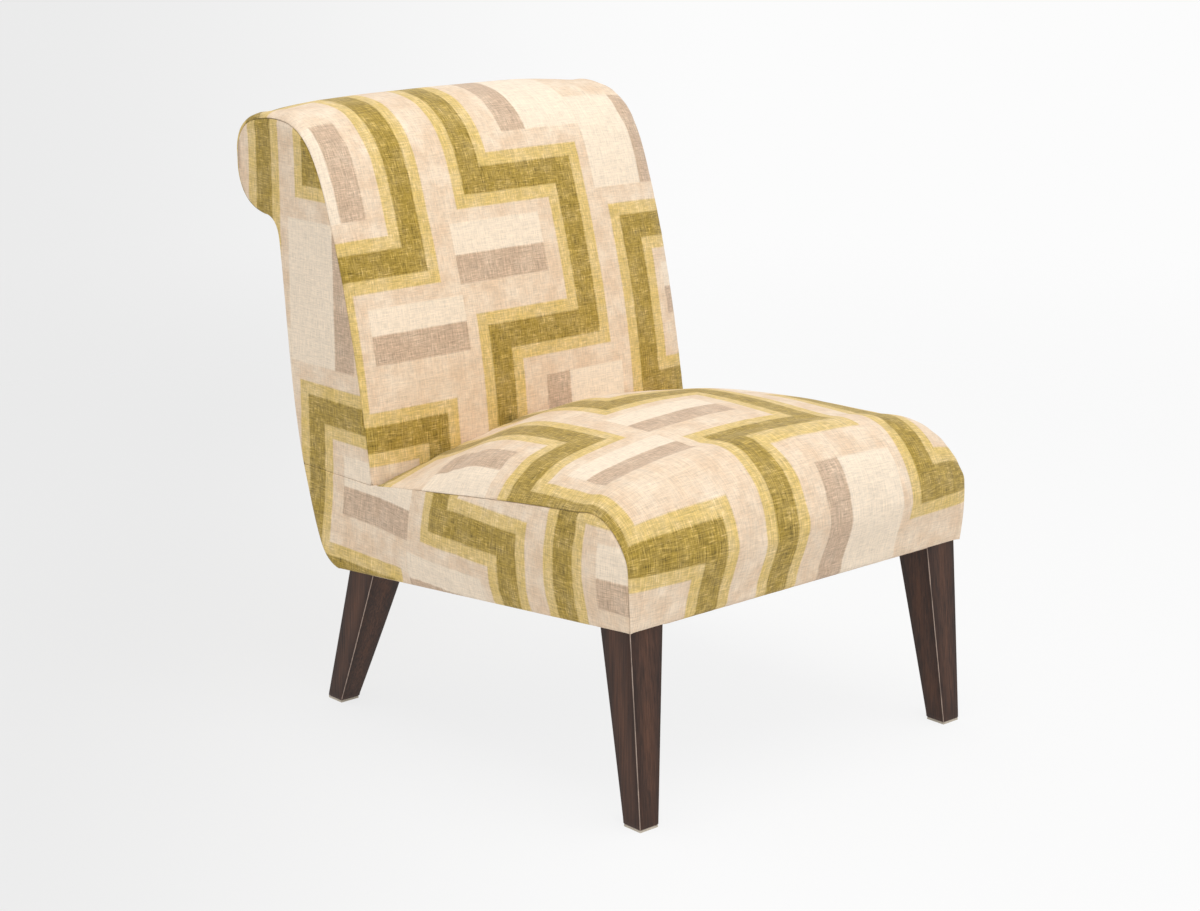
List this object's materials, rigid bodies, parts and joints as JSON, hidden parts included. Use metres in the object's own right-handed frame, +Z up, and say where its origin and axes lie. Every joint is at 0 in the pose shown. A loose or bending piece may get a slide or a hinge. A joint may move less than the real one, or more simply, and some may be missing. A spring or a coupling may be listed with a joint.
{
  "type": "slipper chair",
  "caption": "Armless low upholstered chair with a crowned tight seat, a raked back rolling over into a scroll top, and tapered square wooden legs.",
  "frame": {"origin": "on the floor, under the middle of the chair's bounding box", "axes": "+Z up, the chair faces -Y, +X towards the sitter's left"},
  "size_m": [0.635, 0.8748, 0.8487],
  "materials": {
    "printed_linen": "matte slubby linen weave with a worn print in olive, gold and taupe",
    "stained_wood": "espresso stain, satin lacquer, paler worn arrises",
    "frame_timber": "planed, unfinished",
    "plywood": "sawn, unfinished",
    "foam": "open cell foam",
    "wadding": "fibre wadding",
    "steel": "bright drawn wire and zinc plated fixings",
    "hessian": "coarse jute weave",
    "elastic_webbing": "woven elastic",
    "black_lining": "spunbonded lining",
    "glide_nylon": "moulded"
  },
  "bodies": {
    "root": {"front_seat_rail": "frame_timber", "rear_seat_rail": "frame_timber", "right_seat_rail": "frame_timber", "left_seat_rail": "frame_timber", "front_right_corner_block": "frame_timber", "front_right_leg_bolt": "steel", "rear_right_corner_block": "frame_timber", "rear_right_leg_bolt": "steel", "front_left_corner_block": "frame_timber", "front_left_leg_bolt": "steel", "rear_left_corner_block": "frame_timber", "rear_left_leg_bolt": "steel", "seat_spring_1": "steel", "front_spring_clip_1": "steel", "rear_spring_clip_1": "steel", "seat_spring_2": "steel", "front_spring_clip_2": "steel", "rear_spring_clip_2": "steel", "seat_spring_3": "steel", "front_spring_clip_3": "steel", "rear_spring_clip_3": "steel", "seat_spring_4": "steel", "front_spring_clip_4": "steel", "rear_spring_clip_4": "steel", "seat_insulator": "hessian", "dust_cover": "black_lining", "front_right_leg": "stained_wood", "front_right_glide": "glide_nylon", "rear_right_leg": "stained_wood", "rear_right_glide": "glide_nylon", "front_left_leg": "stained_wood", "front_left_glide": "glide_nylon", "rear_left_leg": "stained_wood", "rear_left_glide": "glide_nylon", "right_back_board": "plywood", "left_back_board": "plywood", "lower_back_rail": "frame_timber", "middle_back_rail": "frame_timber", "neck_rail": "frame_timber", "scroll_rail": "frame_timber", "back_webbing_1": "elastic_webbing", "back_webbing_2": "elastic_webbing", "back_webbing_3": "elastic_webbing", "seat_foam": "foam", "front_padding": "wadding", "right_seat_side_padding": "wadding", "left_seat_side_padding": "wadding", "back_foam": "foam", "scroll_foam": "foam", "outside_back_padding": "wadding", "right_back_side_padding": "wadding", "left_back_side_padding": "wadding", "seat_cover": "printed_linen", "right_seat_side_cover": "printed_linen", "left_seat_side_cover": "printed_linen", "inside_back_cover": "printed_linen", "outside_back_cover": "printed_linen", "right_back_side_cover": "printed_linen", "left_back_side_cover": "printed_linen"}
  },
  "joints": []
}
